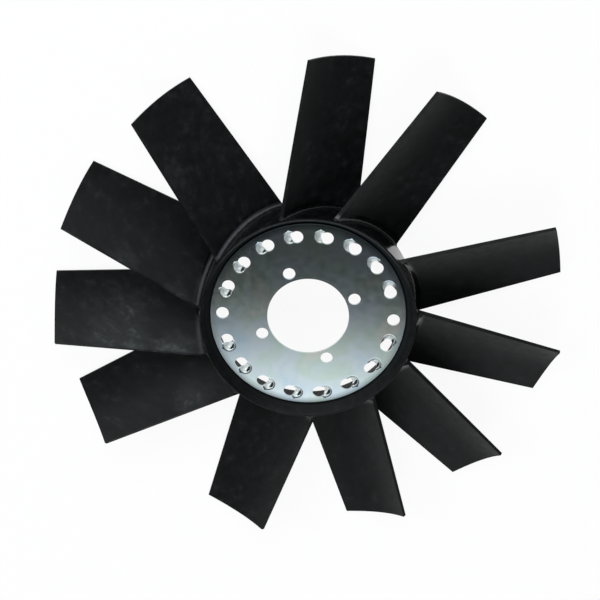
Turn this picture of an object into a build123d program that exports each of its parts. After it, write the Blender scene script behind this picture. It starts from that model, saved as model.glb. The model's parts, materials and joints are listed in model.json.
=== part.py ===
from build123d import *
import os
from math import asin, cos, degrees, hypot, sin

# Axial fan impeller: a one-piece moulded rotor, hub ring and eleven blades, around a pressed steel hub plate.
# Millimetres. Origin: centre of the pilot bore on the front face of the hub plate. +Z points to the front.
# Angles are measured from +X, anticlockwise seen from the front.

# Overall
tip_radius = 211.5
hub_radius = 88.3
hub_front = 8.1
hub_back = -31.5

# Hub plate, pressed from sheet: flat disc, bend and skirt. The rim section is the moulding outside its edge
rim_section = 7.3
plate_thickness = 2.0
plate_bend_radius = 4.0
plate_skirt_depth = 13.0
plate_edge_radius = hub_radius - rim_section
plate_flat_radius = plate_edge_radius - plate_bend_radius
pilot_radius = 33.4
bolt_setback = 7.3
bolt_circle_radius = pilot_radius + bolt_setback
bolt_hole_radius = 5.0
bolt_count = 4
bolt_start_angle = 24.7

# Vent holes on a ring; two opposite ones are plain and the others have a scoop on their anticlockwise side
vent_setback = 7.0
vent_circle_radius = plate_flat_radius - vent_setback
vent_hole_radius = 5.15
vent_count = 18
plain_vents = (0, 9)
scoop_offset = 5.6
scoop_radius = 4.1
scoop_depth = 4.6
scoop_lip = 1.7
scoop_lip_drop = 0.9
scoop_wall = 1.3

# Moulded hub ring: it closes on both faces of the skirt, and its wall thins by its draft towards the back
rim_land = 1.4
rim_round = 1.0
ring_wall = 4.4
ring_wall_back = 2.4
seat_rise = 0.4
lip_thickness = 2.2

# Blades: a curved sheet of even camber radius, cut to a tapered outline; drawn along +X, then turned
# Chords and thicknesses are those at the hub's outer wall and at the tip
blade_angles = (85.4, 57.6, 16.5, -13.6, -42.8, -70.8, -105.3, -149.5, -177.3, 154.6, 125.7)
root_chord = 72.2
tip_chord = 61.0
root_thickness = 3.3
tip_thickness = 2.4
camber_radius = 96.7
blade_pitch = 31.9
blade_droop = 2.4
blade_lean = -1.0
blade_height = -18.8
blade_shift = 4.8
root_fillet = 3.0

# Construction allowances
blade_length = tip_radius - hub_radius
blade_overlap = 0.5 * ring_wall
margin = 3.5 * root_fillet
root_sector = 90.0
seam_angle = -127.0
fillet_limit = 0.92 * root_thickness
on_wall_tolerance = 0.02
clearance = 0.1


def sheet_face(radius, droop):
    # Cylinder whose lowest line starts at the origin and runs along +X, falling by the droop angle
    length = 2 * tip_radius
    return Rot(0, droop, 0) * Pos(0, 0, camber_radius) * Rot(0, 90, 0) * Cylinder(radius, length)


def edge_plane(side):
    # Cuts the sheet square to its surface along the line from the root chord's end to the tip chord's end
    root_angle = asin(root_chord / 2 / camber_radius)
    tip_angle = asin(tip_chord / 2 / camber_radius)
    centre = Vector(0, 0, camber_radius)
    root_point = centre + Vector(0, side * sin(root_angle), -cos(root_angle)) * camber_radius
    tip_point = centre + Vector(0, side * sin(tip_angle), -cos(tip_angle)) * camber_radius
    tip_point += Vector(blade_length, 0, 0)
    return Plane(origin=root_point, z_dir=(tip_point - root_point).cross(root_point - centre) * side)


def make_blade():
    taper = degrees((root_thickness - tip_thickness) / blade_length)
    sheet = sheet_face(camber_radius + root_thickness / 2, -taper / 2)
    sheet -= sheet_face(camber_radius - root_thickness / 2, taper / 2)
    for side in (-1, 1):
        sheet = split(sheet, bisect_by=edge_plane(side), keep=Keep.BOTTOM)
    tilt = Rot(0, blade_droop, blade_lean) * Rot(blade_pitch, 0, 0)
    height = 4 * (hub_front - hub_back)
    keep = Cylinder(tip_radius, height) - Cylinder(hub_radius - blade_overlap, height)
    keep = split(keep, bisect_by=Plane.YZ, keep=Keep.TOP)
    return Pos(hub_radius, blade_shift, blade_height) * tilt * sheet & keep


def wall_of(thickness, turn):
    # The hub's outer wall, taller than the finished ring by the margin at each end
    section = Rectangle(thickness, hub_front - hub_back + 2 * margin)
    middle = (hub_front + hub_back) / 2
    return revolve(Plane.XZ * Pos(hub_radius - thickness / 2, middle) * section, Axis.Z, turn)


def root_edges(body):
    # Edges of the blade's root: they lie on the hub's outer wall, clear of its two ends
    found = []
    for edge in body.edges():
        points = [edge.position_at(share) for share in (0, 0.25, 0.5, 0.75, 1)]
        on_wall = all(abs(hypot(p.X, p.Y) - hub_radius) < on_wall_tolerance for p in points)
        heights = [p.Z for p in points]
        below_front = max(heights) < hub_front + margin - clearance
        above_back = min(heights) > hub_back - margin + clearance
        if on_wall and below_front and above_back:
            found.append(edge)
    return found


def rooted_blade():
    # One blade with its root fillet, on the piece of the hub's wall that it grows from
    rooted = Rot(0, 0, -root_sector / 2) * wall_of(ring_wall, root_sector) + make_blade()
    return fillet(root_edges(rooted), min(root_fillet, fillet_limit))


def ring_of(profile):
    # A turned solid whose seam falls in the wide gap between two blade roots
    return Rot(0, 0, seam_angle) * revolve(Plane.XZ * profile, Axis.Z, 360)


def plate_profile():
    outer = plate_edge_radius
    inner = outer - plate_thickness
    inner_bend = plate_bend_radius - plate_thickness
    front = Line((pilot_radius, 0), (plate_flat_radius, 0))
    outer_bend = RadiusArc((plate_flat_radius, 0), (outer, -plate_bend_radius), plate_bend_radius)
    skirt = Polyline((outer, -plate_bend_radius), (outer, -plate_skirt_depth), (inner, -plate_skirt_depth),
                     (inner, -plate_bend_radius))
    under_bend = RadiusArc((inner, -plate_bend_radius), (plate_flat_radius, -plate_thickness), -inner_bend)
    back = Polyline((plate_flat_radius, -plate_thickness), (pilot_radius, -plate_thickness),
                    (pilot_radius, 0))
    return make_face([front, outer_bend, skirt, under_bend, back])


def scoop_bowl():
    # Half section of the dished scoop, turned about its own upright axis: a bevelled lip and a round bowl
    lip_outer = scoop_radius + scoop_lip
    bowl_rise = scoop_depth - scoop_lip_drop
    bowl_radius = (scoop_radius**2 + bowl_rise**2) / (2 * bowl_rise)
    bowl = RadiusArc((scoop_radius, -scoop_lip_drop), (0, -scoop_depth), bowl_radius)
    floor = -scoop_depth - scoop_wall
    mouth = scoop_radius + scoop_wall
    outline = Polyline((0, -scoop_depth), (0, floor), (mouth / 2, floor), (mouth, -plate_thickness),
                       (lip_outer, -plate_thickness), (lip_outer, 0), (scoop_radius, -scoop_lip_drop))
    return revolve(Plane.XZ * make_face([bowl, outline]), Axis.Z, 360)


def make_plate():
    plate = ring_of(plate_profile())
    bolt_drill = Cylinder(bolt_hole_radius, 2 * margin)
    for index in range(bolt_count):
        angle = bolt_start_angle + index * 360 / bolt_count
        plate -= Rot(0, 0, angle) * Pos(bolt_circle_radius, 0, 0) * bolt_drill
    scoop_centre = Pos(vent_circle_radius, scoop_offset, 0)
    opening = scoop_centre * Cylinder(scoop_radius + scoop_lip, 2 * (plate_thickness + clearance))
    bowl = scoop_centre * scoop_bowl()
    vent_drill = Pos(vent_circle_radius, 0, 0) * Cylinder(vent_hole_radius, 4 * margin)
    for index in range(vent_count):
        place = Rot(0, 0, index * 360 / vent_count)
        if index not in plain_vents:
            plate = plate - place * opening + place * bowl
        plate -= place * vent_drill
    return plate


def ring_profile():
    # Hub ring section, drawn out to the blade tips: what lies outside it is trimmed off the filleted blank
    wall_inner = hub_radius - ring_wall
    grip = plate_edge_radius - plate_thickness / 2
    seat_height = seat_rise - plate_bend_radius
    lip_front = -plate_bend_radius - plate_thickness
    lip_inner = plate_edge_radius - plate_thickness - lip_thickness
    lip_back = -plate_skirt_depth - lip_thickness
    reach = tip_radius + margin
    beyond = 2 * hub_back
    outline = Polyline(
        (reach, hub_front), (hub_radius - rim_land, hub_front), (plate_edge_radius, seat_height),
        (grip, seat_height), (grip, lip_front), (lip_inner, lip_front), (lip_inner, lip_back),
        (wall_inner, lip_back - ring_wall / 2), (hub_radius - ring_wall_back, hub_back),
        (hub_radius + margin, hub_back), (hub_radius + margin, beyond), (reach, beyond),
        close=True)
    section = make_face(outline)
    rim_corner = section.vertices().sort_by_distance((hub_radius - rim_land, hub_front, 0))[0]
    return fillet(rim_corner, rim_round)


def make_impeller(plate):
    blank = rim_section + lip_thickness + 2 * plate_thickness
    body = Rot(0, 0, seam_angle) * wall_of(blank, 360)
    blade = rooted_blade()
    body += [Rot(0, 0, angle) * blade for angle in blade_angles]
    return (body & ring_of(ring_profile())) - plate


os.makedirs("parts", exist_ok=True)
hub_plate = make_plate()
impeller = make_impeller(hub_plate)
for name, shape in (("impeller", impeller), ("hub_plate", hub_plate)):
    print(name, "solids", len(shape.solids()), "valid", shape.is_valid, "volume", round(shape.volume))
    export_step(shape, "parts/" + name + ".step")
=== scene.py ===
import bpy
import json
from math import cos, radians
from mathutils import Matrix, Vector

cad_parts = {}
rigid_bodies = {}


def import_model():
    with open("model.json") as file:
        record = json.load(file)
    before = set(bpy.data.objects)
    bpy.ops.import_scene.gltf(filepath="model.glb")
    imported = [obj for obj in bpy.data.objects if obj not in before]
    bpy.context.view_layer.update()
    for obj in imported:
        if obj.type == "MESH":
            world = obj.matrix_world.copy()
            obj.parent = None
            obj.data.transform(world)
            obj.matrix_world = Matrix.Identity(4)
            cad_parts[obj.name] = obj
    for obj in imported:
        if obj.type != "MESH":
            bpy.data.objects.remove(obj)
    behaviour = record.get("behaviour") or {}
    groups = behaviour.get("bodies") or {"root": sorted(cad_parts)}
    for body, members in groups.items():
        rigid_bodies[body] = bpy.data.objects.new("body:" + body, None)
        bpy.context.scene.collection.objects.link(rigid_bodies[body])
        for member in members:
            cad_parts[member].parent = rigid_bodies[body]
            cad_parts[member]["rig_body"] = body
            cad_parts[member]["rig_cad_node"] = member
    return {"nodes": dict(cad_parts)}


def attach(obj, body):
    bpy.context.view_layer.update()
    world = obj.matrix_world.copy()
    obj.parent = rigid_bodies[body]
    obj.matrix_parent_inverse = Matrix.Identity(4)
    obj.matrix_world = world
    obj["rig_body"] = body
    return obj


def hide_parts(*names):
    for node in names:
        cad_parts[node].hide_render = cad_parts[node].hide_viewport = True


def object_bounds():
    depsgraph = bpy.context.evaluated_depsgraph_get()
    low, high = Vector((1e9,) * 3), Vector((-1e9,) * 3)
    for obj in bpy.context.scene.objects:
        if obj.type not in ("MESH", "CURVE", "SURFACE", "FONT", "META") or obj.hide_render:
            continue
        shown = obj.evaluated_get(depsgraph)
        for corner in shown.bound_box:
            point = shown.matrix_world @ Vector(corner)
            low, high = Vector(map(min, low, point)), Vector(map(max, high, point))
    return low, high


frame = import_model()
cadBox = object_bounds()
print("frame loaded:", sorted(frame["nodes"]))


def metres(sizesMm):
    return [size / 1000 for size in sizesMm]


def linearColour(hexCode):
    # sRGB hex to the linear values that a shader socket takes
    channels = [int(hexCode[i:i + 2], 16) / 255 for i in (1, 3, 5)]
    return [c / 12.92 if c <= 0.04045 else ((c + 0.055) / 1.055) ** 2.4 for c in channels] + [1.0]


def addNode(tree, kind, settings=None, links=None, values=None):
    # settings are the node's own properties, links its inputs fed by other nodes, values its fixed inputs
    node = tree.nodes.new(kind)
    for name, value in (settings or {}).items():
        setattr(node, name, value)
    for socket, value in (values or {}).items():
        node.inputs[socket].default_value = value
    for socket, source in (links or {}).items():
        tree.links.new(source, node.inputs[socket])
    return node


def setRamp(node, stops):
    # stops are (position, hex colour)
    elements = node.color_ramp.elements
    while len(elements) < len(stops):
        elements.new(0.5)
    for element, (position, hexCode) in zip(elements, stops):
        element.position = position
        element.color = linearColour(hexCode)


def newMaterial(name):
    material = bpy.data.materials.new(name)
    material.use_nodes = True
    tree = material.node_tree
    tree.nodes.clear()
    return material, tree


# Settings that several nodes share. A Mix node takes its factor at socket 0, its colours at 6 and 7 and its
# vectors at 4 and 5, and gives the mixed colour at output 2 or the mixed vector at output 1
softStep = {"interpolation_type": "SMOOTHSTEP"}
colourMix = {"data_type": "RGBA"}
vectorMix = {"data_type": "VECTOR"}
noiseSpan = {"From Min": 0.3, "From Max": 0.7}     # most of a noise texture's values lie between these

# Black glass-filled nylon as it leaves the mould: a soft sheen, marks where it flowed into the blades and a
# faint mottle where the fibres lie at the surface. A pattern's scale is 1000 over its size in mm
nylonLook = {
    "tones": [(0.14, "#040505"), (0.3, "#0d0f10"), (0.48, "#1e2122"), (0.64, "#3b3f40")],  # bare to dusty
    "flow": {"Scale": 1000 / 9.0, "Detail": 4.0, "Roughness": 0.6},
    "flowPace": 0.9,          # how fast the marks change outwards along a blade; less draws them longer
    "flowRadiusMm": 150.0,    # where the marks have their full size across the blade
    "mottle": {"Scale": 1000 / 6.0, "Detail": 5.0, "Roughness": 0.65},
    # real fibre grain is about 0.1 mm, drawn coarser so that it shows
    "grain": {"Scale": 1000 / 0.9, "Detail": 2.0},
    "grainBump": 0.35,
    "grainHeightMm": 0.02,
    # patches of handling dust and painted light, lighter where the blades catch more light: their middle,
    # how far from it they end and are full, and how much
    "dustAndPaintedLightMm": [
        ((-156, -25, -30), (54, 8), 0.19),
        ((-168, -37, -9), (24, 4), 0.14),
        ((-138, -39, -3), (23, 5), 0.18),
        ((-108, -38, 2), (25, 7), 0.27),
        ((-152, 40, -1), (22, 4), 0.2),
        ((-110, 14, 5), (18, 4), 0.24),
        ((-92, -84, -7), (26, 5), 0.22),
        ((-108, 113, -6), (20, 4), 0.2),
    ],
    # painted light that lifts the shade in the corner between the ring and the plate, weaker towards the -Y
    # end
    "cornerPaintedLight": "#1b1e20",
    "cornerMm": (84.0, 82.4),         # radii where it ends and is full
    "cornerThinMm": (-70.0, -30.0),   # Y where it is thinnest and where it is full
    "cornerLeast": 0.5,
    # a painted highlight along the root radii on one side of the ring
    "rootPaintedHighlight": "#383c3f",
    "rootHighlightAtMm": (-69, 58, -15),   # its middle, and how far from it the highlight ends and is full
    "rootHighlightMm": (70, 10),
    "rootWidthMm": (2.1, 0.5),        # how far from the middle of the radii it ends and is full
    # the root radii come from a polished part of the mould
    "rootMiddleMm": 90.5,
    "polishMm": (1.5, 5.0),           # how far from their middle the polish is full and gone
    "polishRoughness": 0.08,
    "roughness": (0.45, 0.6),
    "gloss": 0.2,                     # fine mould texture breaks up most of the surface gloss
    "ior": 1.53,
}


def glassFilledNylon():
    look = nylonLook
    material, tree = newMaterial("glassFilledNylonMoulded")
    place = addNode(tree, "ShaderNodeTexCoord").outputs["Object"]
    axes = addNode(tree, "ShaderNodeSeparateXYZ", links={0: place})
    flat = addNode(tree, "ShaderNodeVectorMath", {"operation": "MULTIPLY"},
                   {0: place}, {1: (1, 1, 0)}).outputs[0]
    outward = addNode(tree, "ShaderNodeVectorMath", {"operation": "NORMALIZE"}, {0: flat}).outputs[0]
    reach = addNode(tree, "ShaderNodeVectorMath", {"operation": "LENGTH"}, {0: flat}).outputs["Value"]

    # flow marks and mottle together set how worn the surface looks
    drift = addNode(tree, "ShaderNodeMath", {"operation": "MULTIPLY_ADD"},
                    {0: reach, 2: axes.outputs["Z"]}, {1: look["flowPace"]})
    along = addNode(tree, "ShaderNodeCombineXYZ", links={"Z": drift.outputs[0]}).outputs[0]
    flow = addNode(tree, "ShaderNodeVectorMath", {"operation": "MULTIPLY_ADD"},
                   {0: outward, 2: along}, {1: metres([look["flowRadiusMm"]] * 3)}).outputs[0]
    marks = addNode(tree, "ShaderNodeTexNoise", links={"Vector": flow}, values=look["flow"])
    mottle = addNode(tree, "ShaderNodeTexNoise", links={"Vector": place}, values=look["mottle"])
    grain = addNode(tree, "ShaderNodeTexNoise", links={"Vector": place}, values=look["grain"])
    wearAndPaintedLight = addNode(tree, "ShaderNodeMath", {"operation": "MULTIPLY"},
                   {0: marks.outputs["Fac"], 1: mottle.outputs["Fac"]})
    # patches of dust and painted light make the blades lighter where they catch more light
    for middle, spread, amount in look["dustAndPaintedLightMm"]:
        end, full = metres(spread)
        away = addNode(tree, "ShaderNodeVectorMath", {"operation": "DISTANCE"},
                       {0: place}, {1: metres(middle)})
        dustAndLight = addNode(tree, "ShaderNodeMapRange", softStep, {"Value": away.outputs["Value"]},
                       {"From Min": end, "From Max": full, "To Max": amount})
        wearAndPaintedLight = addNode(tree, "ShaderNodeMath", {"operation": "ADD"},
                       {0: wearAndPaintedLight.outputs[0], 1: dustAndLight.outputs["Result"]})
    tone = addNode(tree, "ShaderNodeValToRGB", links={"Fac": wearAndPaintedLight.outputs[0]})
    setRamp(tone, look["tones"])

    # painted light in the corner round the plate
    thinnest, thickest = metres(look["cornerThinMm"])
    thinned = addNode(tree, "ShaderNodeMapRange", links={"Value": axes.outputs["Y"]},
                      values={"From Min": thinnest, "From Max": thickest, "To Min": look["cornerLeast"]})
    end, full = metres(look["cornerMm"])
    corner = addNode(tree, "ShaderNodeMapRange", softStep,
                     {"Value": reach, "To Max": thinned.outputs["Result"]},
                     {"From Min": end, "From Max": full})
    tone = addNode(tree, "ShaderNodeMix", colourMix,
                   {0: corner.outputs["Result"], 6: tone.outputs["Color"]},
                   {7: linearColour(look["cornerPaintedLight"])})

    # painted highlight in the root radii
    fromRoot = addNode(tree, "ShaderNodeMath", {"operation": "SUBTRACT"},
                       {0: reach}, {1: look["rootMiddleMm"] / 1000})
    fromRoot = addNode(tree, "ShaderNodeMath", {"operation": "ABSOLUTE"}, {0: fromRoot.outputs[0]})
    away = addNode(tree, "ShaderNodeVectorMath", {"operation": "DISTANCE"},
                   {0: place}, {1: metres(look["rootHighlightAtMm"])})
    end, full = metres(look["rootHighlightMm"])
    highlit = addNode(tree, "ShaderNodeMapRange", softStep,
                      {"Value": away.outputs["Value"]}, {"From Min": end, "From Max": full})
    end, full = metres(look["rootWidthMm"])
    highlit = addNode(tree, "ShaderNodeMapRange", softStep,
                      {"Value": fromRoot.outputs[0], "To Max": highlit.outputs["Result"]},
                      {"From Min": end, "From Max": full})
    tone = addNode(tree, "ShaderNodeMix", colourMix,
                   {0: highlit.outputs["Result"], 6: tone.outputs[2]}, {7: linearColour(look["rootPaintedHighlight"])})

    # satin all over, polished in the root radii
    smoothest, roughest = look["roughness"]
    rough = addNode(tree, "ShaderNodeMapRange", links={"Value": mottle.outputs["Fac"]},
                    values={**noiseSpan, "To Min": smoothest, "To Max": roughest})
    full, gone = metres(look["polishMm"])
    rough = addNode(tree, "ShaderNodeMapRange",
                    links={"Value": fromRoot.outputs[0], "To Max": rough.outputs["Result"]},
                    values={"From Min": full, "From Max": gone, "To Min": look["polishRoughness"]})
    bump = addNode(tree, "ShaderNodeBump", links={"Height": grain.outputs["Fac"]},
                   values={"Strength": look["grainBump"], "Distance": look["grainHeightMm"] / 1000})
    shader = addNode(tree, "ShaderNodeBsdfPrincipled",
                     links={"Base Color": tone.outputs[2], "Roughness": rough.outputs["Result"],
                            "Normal": bump.outputs["Normal"]},
                     values={"IOR": look["ior"], "Specular IOR Level": look["gloss"]})
    addNode(tree, "ShaderNodeOutputMaterial", links={"Surface": shader.outputs[0]})
    print(material.name, "nodes", len(tree.nodes))
    return material


# Zinc-plated and clear-passivated pressed steel: satin metal with a faint film of blue, green and straw
plateLook = {
    "film": {"Scale": 1000 / 45.0, "Detail": 3.0, "Roughness": 0.55, "Distortion": 0.4},
    "filmTones": [(0.32, "#b9cbd6"), (0.45, "#c4d0d5"), (0.55, "#bccdc6"), (0.68, "#cbcec8")],
    "cloud": {"Scale": 1000 / 6.0, "Detail": 5.0, "Roughness": 0.6},
    "roughness": (0.1, 0.13),
    # rolled sheet grain is finer, drawn coarser so that it shows
    "grain": {"Scale": 1000 / 0.8, "Detail": 2.0},
    "grainBump": 0.3,
    "grainHeightMm": 0.004,
    # the modelled bend is wider than the real one, so it is shaded flat: this begins at the first radius
    # and is full inside the second
    "bendMm": (80.5, 79.7),
    # painted shade darkens the rim, most of all at its -Y and +Y ends
    "rimMm": (74.0, 80.8),
    "rimPaintedShade": [(0.04, "#50585c"), (0.2, "#788286"), (0.5, "#b4bec2"), (0.92, "#5c686c")],
    "rimShadeEndsMm": (-81.0, 81.0),         # Y at the two ends of those colours
    # the scoops are paler, duller and less metallic than the sheet: a painted reflection of white
    "scoopsMm": 77.2,                 # they lie inside this radius
    "bowlMm": (-0.25, -1.0),          # the pale finish begins at the first height and is full at the second
    "bowlPaintedReflection": "#e6eeee",
    "bowlMetal": 0.25,
    "bowlRoughness": 0.3,
    # painted shade on the scoop walls that face this way: from slightly, where it begins, to squarely
    # enough for it to be full
    "scoopPaintedShade": "#14181a",
    "shadeFacing": (-0.86, 0.5, 0.0),
    "shadeSlope": (0.5, 0.72),
    "frontFrom": 0.02,                # a normal that rises more than this is on the front of the sheet
}


def zincPlatedSteel():
    look = plateLook
    material, tree = newMaterial("zincPlatedSteelPassivated")
    coordinates = addNode(tree, "ShaderNodeTexCoord")
    place, normal = coordinates.outputs["Object"], coordinates.outputs["Normal"]
    axes = addNode(tree, "ShaderNodeSeparateXYZ", links={0: place})
    facing = addNode(tree, "ShaderNodeSeparateXYZ", links={0: normal})
    flat = addNode(tree, "ShaderNodeVectorMath", {"operation": "MULTIPLY"},
                   {0: place}, {1: (1, 1, 0)}).outputs[0]
    reach = addNode(tree, "ShaderNodeVectorMath", {"operation": "LENGTH"}, {0: flat}).outputs["Value"]
    film = addNode(tree, "ShaderNodeTexNoise", links={"Vector": place}, values=look["film"])
    cloud = addNode(tree, "ShaderNodeTexNoise", links={"Vector": place}, values=look["cloud"])
    grain = addNode(tree, "ShaderNodeTexNoise", links={"Vector": place}, values=look["grain"])
    tone = addNode(tree, "ShaderNodeValToRGB", links={"Fac": film.outputs["Fac"]})
    setRamp(tone, look["filmTones"])

    # painted shade on the rim, and a faintly cloudy shine
    start, end = metres(look["rimMm"])
    atRim = addNode(tree, "ShaderNodeMapRange", links={"Value": reach},
                    values={"From Min": start, "From Max": end})
    lowest, highest = metres(look["rimShadeEndsMm"])
    across = addNode(tree, "ShaderNodeMapRange", links={"Value": axes.outputs["Y"]},
                     values={"From Min": lowest, "From Max": highest})
    rimShade = addNode(tree, "ShaderNodeValToRGB", links={"Fac": across.outputs["Result"]})
    setRamp(rimShade, look["rimPaintedShade"])
    tone = addNode(tree, "ShaderNodeMix", colourMix,
                   {0: atRim.outputs["Result"], 6: tone.outputs["Color"], 7: rimShade.outputs["Color"]})
    smoothest, roughest = look["roughness"]
    rough = addNode(tree, "ShaderNodeMapRange", links={"Value": cloud.outputs["Fac"]},
                    values={**noiseSpan, "To Min": smoothest, "To Max": roughest})

    # pale scoops, a painted reflection of white: the sunk front faces inside their radius. Outer is the
    # front faces outside it
    begins, full = metres(look["bowlMm"])
    sunk = addNode(tree, "ShaderNodeMapRange", softStep,
                   {"Value": axes.outputs["Z"]}, {"From Min": begins, "From Max": full})
    front = addNode(tree, "ShaderNodeMath", {"operation": "GREATER_THAN"},
                    {0: facing.outputs["Z"]}, {1: look["frontFrom"]})
    inside = addNode(tree, "ShaderNodeMath", {"operation": "LESS_THAN"},
                     {0: reach}, {1: look["scoopsMm"] / 1000})
    outer = addNode(tree, "ShaderNodeMath", {"operation": "SUBTRACT"},
                    {0: front.outputs[0], 1: inside.outputs[0]})
    bowl = addNode(tree, "ShaderNodeMath", {"operation": "MULTIPLY"},
                   {0: sunk.outputs["Result"], 1: front.outputs[0]})
    bowl = addNode(tree, "ShaderNodeMath", {"operation": "MULTIPLY"},
                   {0: bowl.outputs[0], 1: inside.outputs[0]})
    tone = addNode(tree, "ShaderNodeMix", colourMix,
                   {0: bowl.outputs[0], 6: tone.outputs[2]}, {7: linearColour(look["bowlPaintedReflection"])})
    metal = addNode(tree, "ShaderNodeMapRange", links={"Value": bowl.outputs[0]},
                    values={"To Min": 1.0, "To Max": look["bowlMetal"]})
    rough = addNode(tree, "ShaderNodeMapRange",
                    links={"Value": bowl.outputs[0], "To Min": rough.outputs["Result"]},
                    values={"To Max": look["bowlRoughness"]})

    # painted shade on one side of each scoop
    towardShade = addNode(tree, "ShaderNodeVectorMath", {"operation": "DOT_PRODUCT"},
                     {0: normal}, {1: look["shadeFacing"]})
    begins, full = look["shadeSlope"]
    scoopPaintedShade = addNode(tree, "ShaderNodeMapRange", softStep,
                   {"Value": towardShade.outputs["Value"], "To Max": bowl.outputs[0]},
                   {"From Min": begins, "From Max": full})
    tone = addNode(tree, "ShaderNodeMix", colourMix,
                   {0: scoopPaintedShade.outputs["Result"], 6: tone.outputs[2]}, {7: linearColour(look["scoopPaintedShade"])})

    # the bend outside the scoops is shaded as level, and the sheet's grain lies on that
    gone, full = metres(look["bendMm"])
    levelled = addNode(tree, "ShaderNodeMapRange", softStep,
                       {"Value": reach, "To Max": outer.outputs[0]}, {"From Min": gone, "From Max": full})
    surface = addNode(tree, "ShaderNodeNewGeometry").outputs["Normal"]
    surface = addNode(tree, "ShaderNodeMix", vectorMix,
                      {0: levelled.outputs["Result"], 4: surface}, {5: (0, 0, 1)}).outputs[1]
    bump = addNode(tree, "ShaderNodeBump", links={"Height": grain.outputs["Fac"], "Normal": surface},
                   values={"Strength": look["grainBump"], "Distance": look["grainHeightMm"] / 1000})
    shader = addNode(tree, "ShaderNodeBsdfPrincipled",
                     links={"Base Color": tone.outputs[2], "Roughness": rough.outputs["Result"],
                            "Metallic": metal.outputs["Result"], "Normal": bump.outputs["Normal"]})
    addNode(tree, "ShaderNodeOutputMaterial", links={"Surface": shader.outputs[0]})
    print(material.name, "nodes", len(tree.nodes))
    return material


# The moulding and the plate keep the frame's exact shape: each is a merged copy of its node, with its
# curved faces shaded smooth. The moulding's sharp edges are eased too
finishes = {
    "impeller": {"piece": "mouldedImpeller", "smoothAngle": 28,
                 "easeMm": 0.35, "easeAngle": 60, "segments": 2},
    "hub_plate": {"piece": "pressedPlate", "smoothAngle": 28, "easeMm": 0},
}
mergeMm = 0.002
flatFrom = 0.99999     # a face whose normal is nearer to upright than this is a flat one


def finishedCopy(node, material):
    finish = finishes[node]
    bpy.ops.object.select_all(action="DESELECT")
    source = frame["nodes"][node]
    source.select_set(True)
    bpy.context.view_layer.objects.active = source
    bpy.ops.object.duplicate()
    piece = bpy.context.view_layer.objects.active
    piece.name = finish["piece"]
    piece.data.name = finish["piece"]
    for key in ("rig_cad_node", "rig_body"):     # the copy is no longer a CAD node
        if key in piece:
            del piece[key]
    piece.parent = None
    bpy.ops.object.mode_set(mode="EDIT")
    bpy.ops.mesh.select_all(action="SELECT")
    bpy.ops.mesh.remove_doubles(threshold=mergeMm / 1000)
    bpy.ops.object.mode_set(mode="OBJECT")
    bpy.ops.object.shade_smooth_by_angle(angle=radians(finish["smoothAngle"]))
    if finish["easeMm"]:
        ease = piece.modifiers.new("easedEdges", "BEVEL")
        ease.width = finish["easeMm"] / 1000
        ease.segments = finish["segments"]
        ease.limit_method = "ANGLE"
        ease.angle_limit = radians(finish["easeAngle"])
        ease.harden_normals = True
        bpy.ops.object.modifier_apply(modifier=ease.name)
    # flat faces lead the shading at their edges, so that long thin triangles leave no streaks there
    bpy.ops.object.mode_set(mode="EDIT")
    bpy.ops.mesh.select_mode(type="FACE")
    bpy.ops.mesh.select_all(action="DESELECT")
    bpy.ops.object.mode_set(mode="OBJECT")
    for face in piece.data.polygons:
        face.select = abs(face.normal.z) > flatFrom
    bpy.ops.object.mode_set(mode="EDIT")
    bpy.ops.mesh.mod_weighted_strength(set=True, face_strength="STRONG")
    bpy.ops.object.mode_set(mode="OBJECT")
    level = piece.modifiers.new("flatFacesStayFlat", "WEIGHTED_NORMAL")
    level.keep_sharp = True
    level.use_face_influence = True
    bpy.ops.object.modifier_apply(modifier=level.name)
    piece.data.materials.clear()
    piece.data.materials.append(material)
    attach(piece, "root")
    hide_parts(node)
    print(finish["piece"], "faces", len(piece.data.polygons))


finishedCopy("impeller", glassFilledNylon())
finishedCopy("hub_plate", zincPlatedSteel())

# Pale floor: seen nearly white, with a light shadow of the fan left on it
floorLook = {"colour": "#f4f5f5", "ownWhite": 0.92, "sizeM": 8.0, "gapMm": 0.2}


def paleFloor():
    material, tree = newMaterial("paleStudioFloor")
    path = addNode(tree, "ShaderNodeLightPath")
    seen = addNode(tree, "ShaderNodeMath", {"operation": "MAXIMUM"},
                   {0: path.outputs["Is Camera Ray"], 1: path.outputs["Is Glossy Ray"]})
    seen = addNode(tree, "ShaderNodeMath", {"operation": "MAXIMUM"},
                   {0: seen.outputs[0], 1: path.outputs["Is Transmission Ray"]})
    share = addNode(tree, "ShaderNodeMath", {"operation": "MULTIPLY"},
                    {0: seen.outputs[0]}, {1: floorLook["ownWhite"]})
    card = addNode(tree, "ShaderNodeBsdfDiffuse", values={"Color": linearColour(floorLook["colour"])})
    white = addNode(tree, "ShaderNodeEmission", values={"Color": (1, 1, 1, 1), "Strength": 1.0})
    mix = addNode(tree, "ShaderNodeMixShader",
                  links={0: share.outputs[0], 1: card.outputs[0], 2: white.outputs[0]})
    addNode(tree, "ShaderNodeOutputMaterial", links={"Surface": mix.outputs[0]})
    bpy.ops.object.select_all(action="DESELECT")
    floorHeight = cadBox[0][2] - floorLook["gapMm"] / 1000
    bpy.ops.mesh.primitive_plane_add(size=floorLook["sizeM"], location=(0, 0, floorHeight))
    floor = bpy.context.view_layer.objects.active
    floor.name = "paleFloor"
    bpy.ops.object.transform_apply(location=True, rotation=True, scale=True)
    floor.data.materials.append(material)
    print("floor at", round(floorHeight, 4))


paleFloor()

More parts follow.
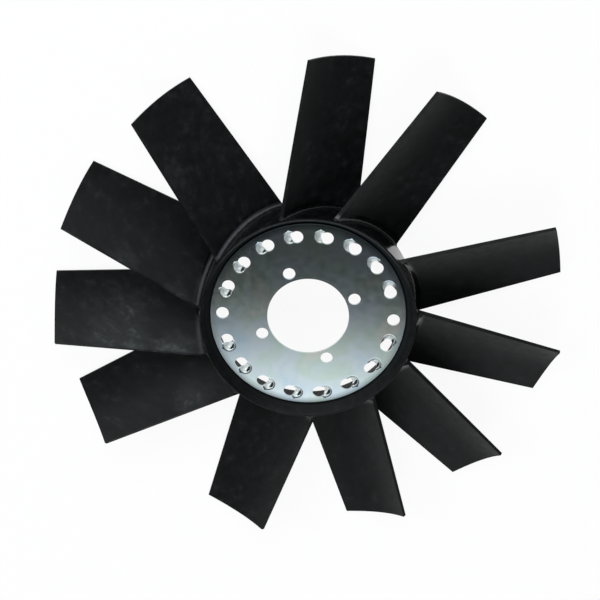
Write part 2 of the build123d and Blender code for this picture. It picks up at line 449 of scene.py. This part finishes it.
# Studio round the fan: soft lights set in a dark sky, each with its direction, its outer and inner edge in
# degrees from its middle, and its brightness. The flat plate mirrors the front softbox's upper edge
skyLights = {
    "frontSoftbox": {"towards": (0.02, -0.749, 0.663), "edges": (25.0, 19.8), "level": 1.5},
    "overhead": {"towards": (0.0, 0.1, 1.0), "edges": (35, 5), "level": 0.11},
    "backHigh": {"towards": (0.0, 0.7, 0.7), "edges": (45, 8), "level": 0.6},
    "backLow": {"towards": (0.0, 1.0, 0.2), "edges": (45, 8), "level": 1.5},
    "backLeftLow": {"towards": (-0.7, 0.7, 0.2), "edges": (45, 8), "level": 0.7},
    "backRightLow": {"towards": (0.7, 0.7, 0.2), "edges": (45, 8), "level": 0.08},
    "leftHigh": {"towards": (-0.75, 0.0, 0.66), "edges": (45, 8), "level": 0.17},
    "rightHigh": {"towards": (0.75, 0.0, 0.66), "edges": (45, 8), "level": 0.05},
    "leftLow": {"towards": (-1.0, 0.0, 0.2), "edges": (45, 8), "level": 0.12},
    "rightLow": {"towards": (1.0, 0.0, 0.2), "edges": (45, 8), "level": 0.12},
    "frontLeftLow": {"towards": (-0.7, -0.7, 0.2), "edges": (45, 8), "level": 0.12},
    "frontLow": {"towards": (0.0, -1.0, 0.2), "edges": (45, 8), "level": 0.12},
    "frontRightLow": {"towards": (0.7, -0.7, 0.2), "edges": (45, 8), "level": 0.1},
    "rootGlint": {"towards": (-0.74, 0.44, 0.51), "edges": (9, 3), "level": 6.0},
}
skyTint = (0.97, 1.0, 1.02, 1)


def studioWorld():
    world = bpy.data.worlds.new("softStudio")
    bpy.context.scene.world = world
    world.use_nodes = True
    tree = world.node_tree
    tree.nodes.clear()
    direction = addNode(tree, "ShaderNodeTexCoord").outputs["Generated"]
    total = addNode(tree, "ShaderNodeValue")
    total.outputs[0].default_value = 0.0
    for name, sky in skyLights.items():
        middle = Vector(sky["towards"]).normalized()
        outer, inner = [cos(radians(a)) for a in sky["edges"]]
        toMiddle = addNode(tree, "ShaderNodeVectorMath", {"operation": "DOT_PRODUCT"},
                           {0: direction}, {1: middle})
        share = addNode(tree, "ShaderNodeMapRange", softStep,
                        {"Value": toMiddle.outputs["Value"]}, {"From Min": outer, "From Max": inner})
        total = addNode(tree, "ShaderNodeMath", {"operation": "MULTIPLY_ADD", "name": name},
                        {0: share.outputs["Result"], 2: total.outputs[0]}, {1: sky["level"]})
    # the camera sees plain white past the floor, and everything else sees the lights
    light = addNode(tree, "ShaderNodeBackground", links={"Strength": total.outputs[0]},
                    values={"Color": skyTint})
    path = addNode(tree, "ShaderNodeLightPath")
    white = addNode(tree, "ShaderNodeBackground", values={"Color": (1, 1, 1, 1), "Strength": 1.0})
    mix = addNode(tree, "ShaderNodeMixShader",
                  links={0: path.outputs["Is Camera Ray"], 1: light.outputs[0], 2: white.outputs[0]})
    addNode(tree, "ShaderNodeOutputWorld", links={"Surface": mix.outputs[0]})
    print("sky lights", len(skyLights))


studioWorld()

# Soft lamps that face the hub: place and size in metres, and watts. They light the fan without being
# mirrored in it, because the sky lights above are its reflections
lamps = {
    "frontPanel": {"place": (0.1, -1.3, 1.5), "size": (1.6, 0.9), "watts": 10},
    "leftPanel": {"place": (-1.5, 0.3, 1.3), "size": (1.0, 1.0), "watts": 10},
    "backPanel": {"place": (-0.2, 1.6, 1.2), "size": (1.0, 1.0), "watts": 10},
}


def addLamps():
    for name, lamp in lamps.items():
        data = bpy.data.lights.new(name, "AREA")
        data.shape = "RECTANGLE"
        data.size, data.size_y = lamp["size"]
        data.energy = lamp["watts"]
        holder = bpy.data.objects.new(name, data)
        bpy.context.scene.collection.objects.link(holder)
        holder.location = lamp["place"]
        holder.rotation_euler = Vector(lamp["place"]).to_track_quat("Z", "Y").to_euler()
        holder.visible_glossy = False
    print("lamps", len(lamps))


addLamps()

# Camera above the fan's +Y side, looking down at its middle: place in metres, turn in degrees
cameraView = {
    "place": (-0.0197, 0.4596, 1.0101),
    "turn": (-23.79, 0.40, 2.51),
    "lensMm": 81.46,
    "sensorMm": 36,
}


def addCamera():
    data = bpy.data.cameras.new("camera")
    data.lens = cameraView["lensMm"]
    data.sensor_width = cameraView["sensorMm"]
    camera = bpy.data.objects.new("camera", data)
    bpy.context.scene.collection.objects.link(camera)
    camera.location = cameraView["place"]
    camera.rotation_euler = [radians(a) for a in cameraView["turn"]]
    bpy.context.scene.camera = camera
    print("camera set")


addCamera()
bpy.context.scene.view_settings.view_transform = "Standard"
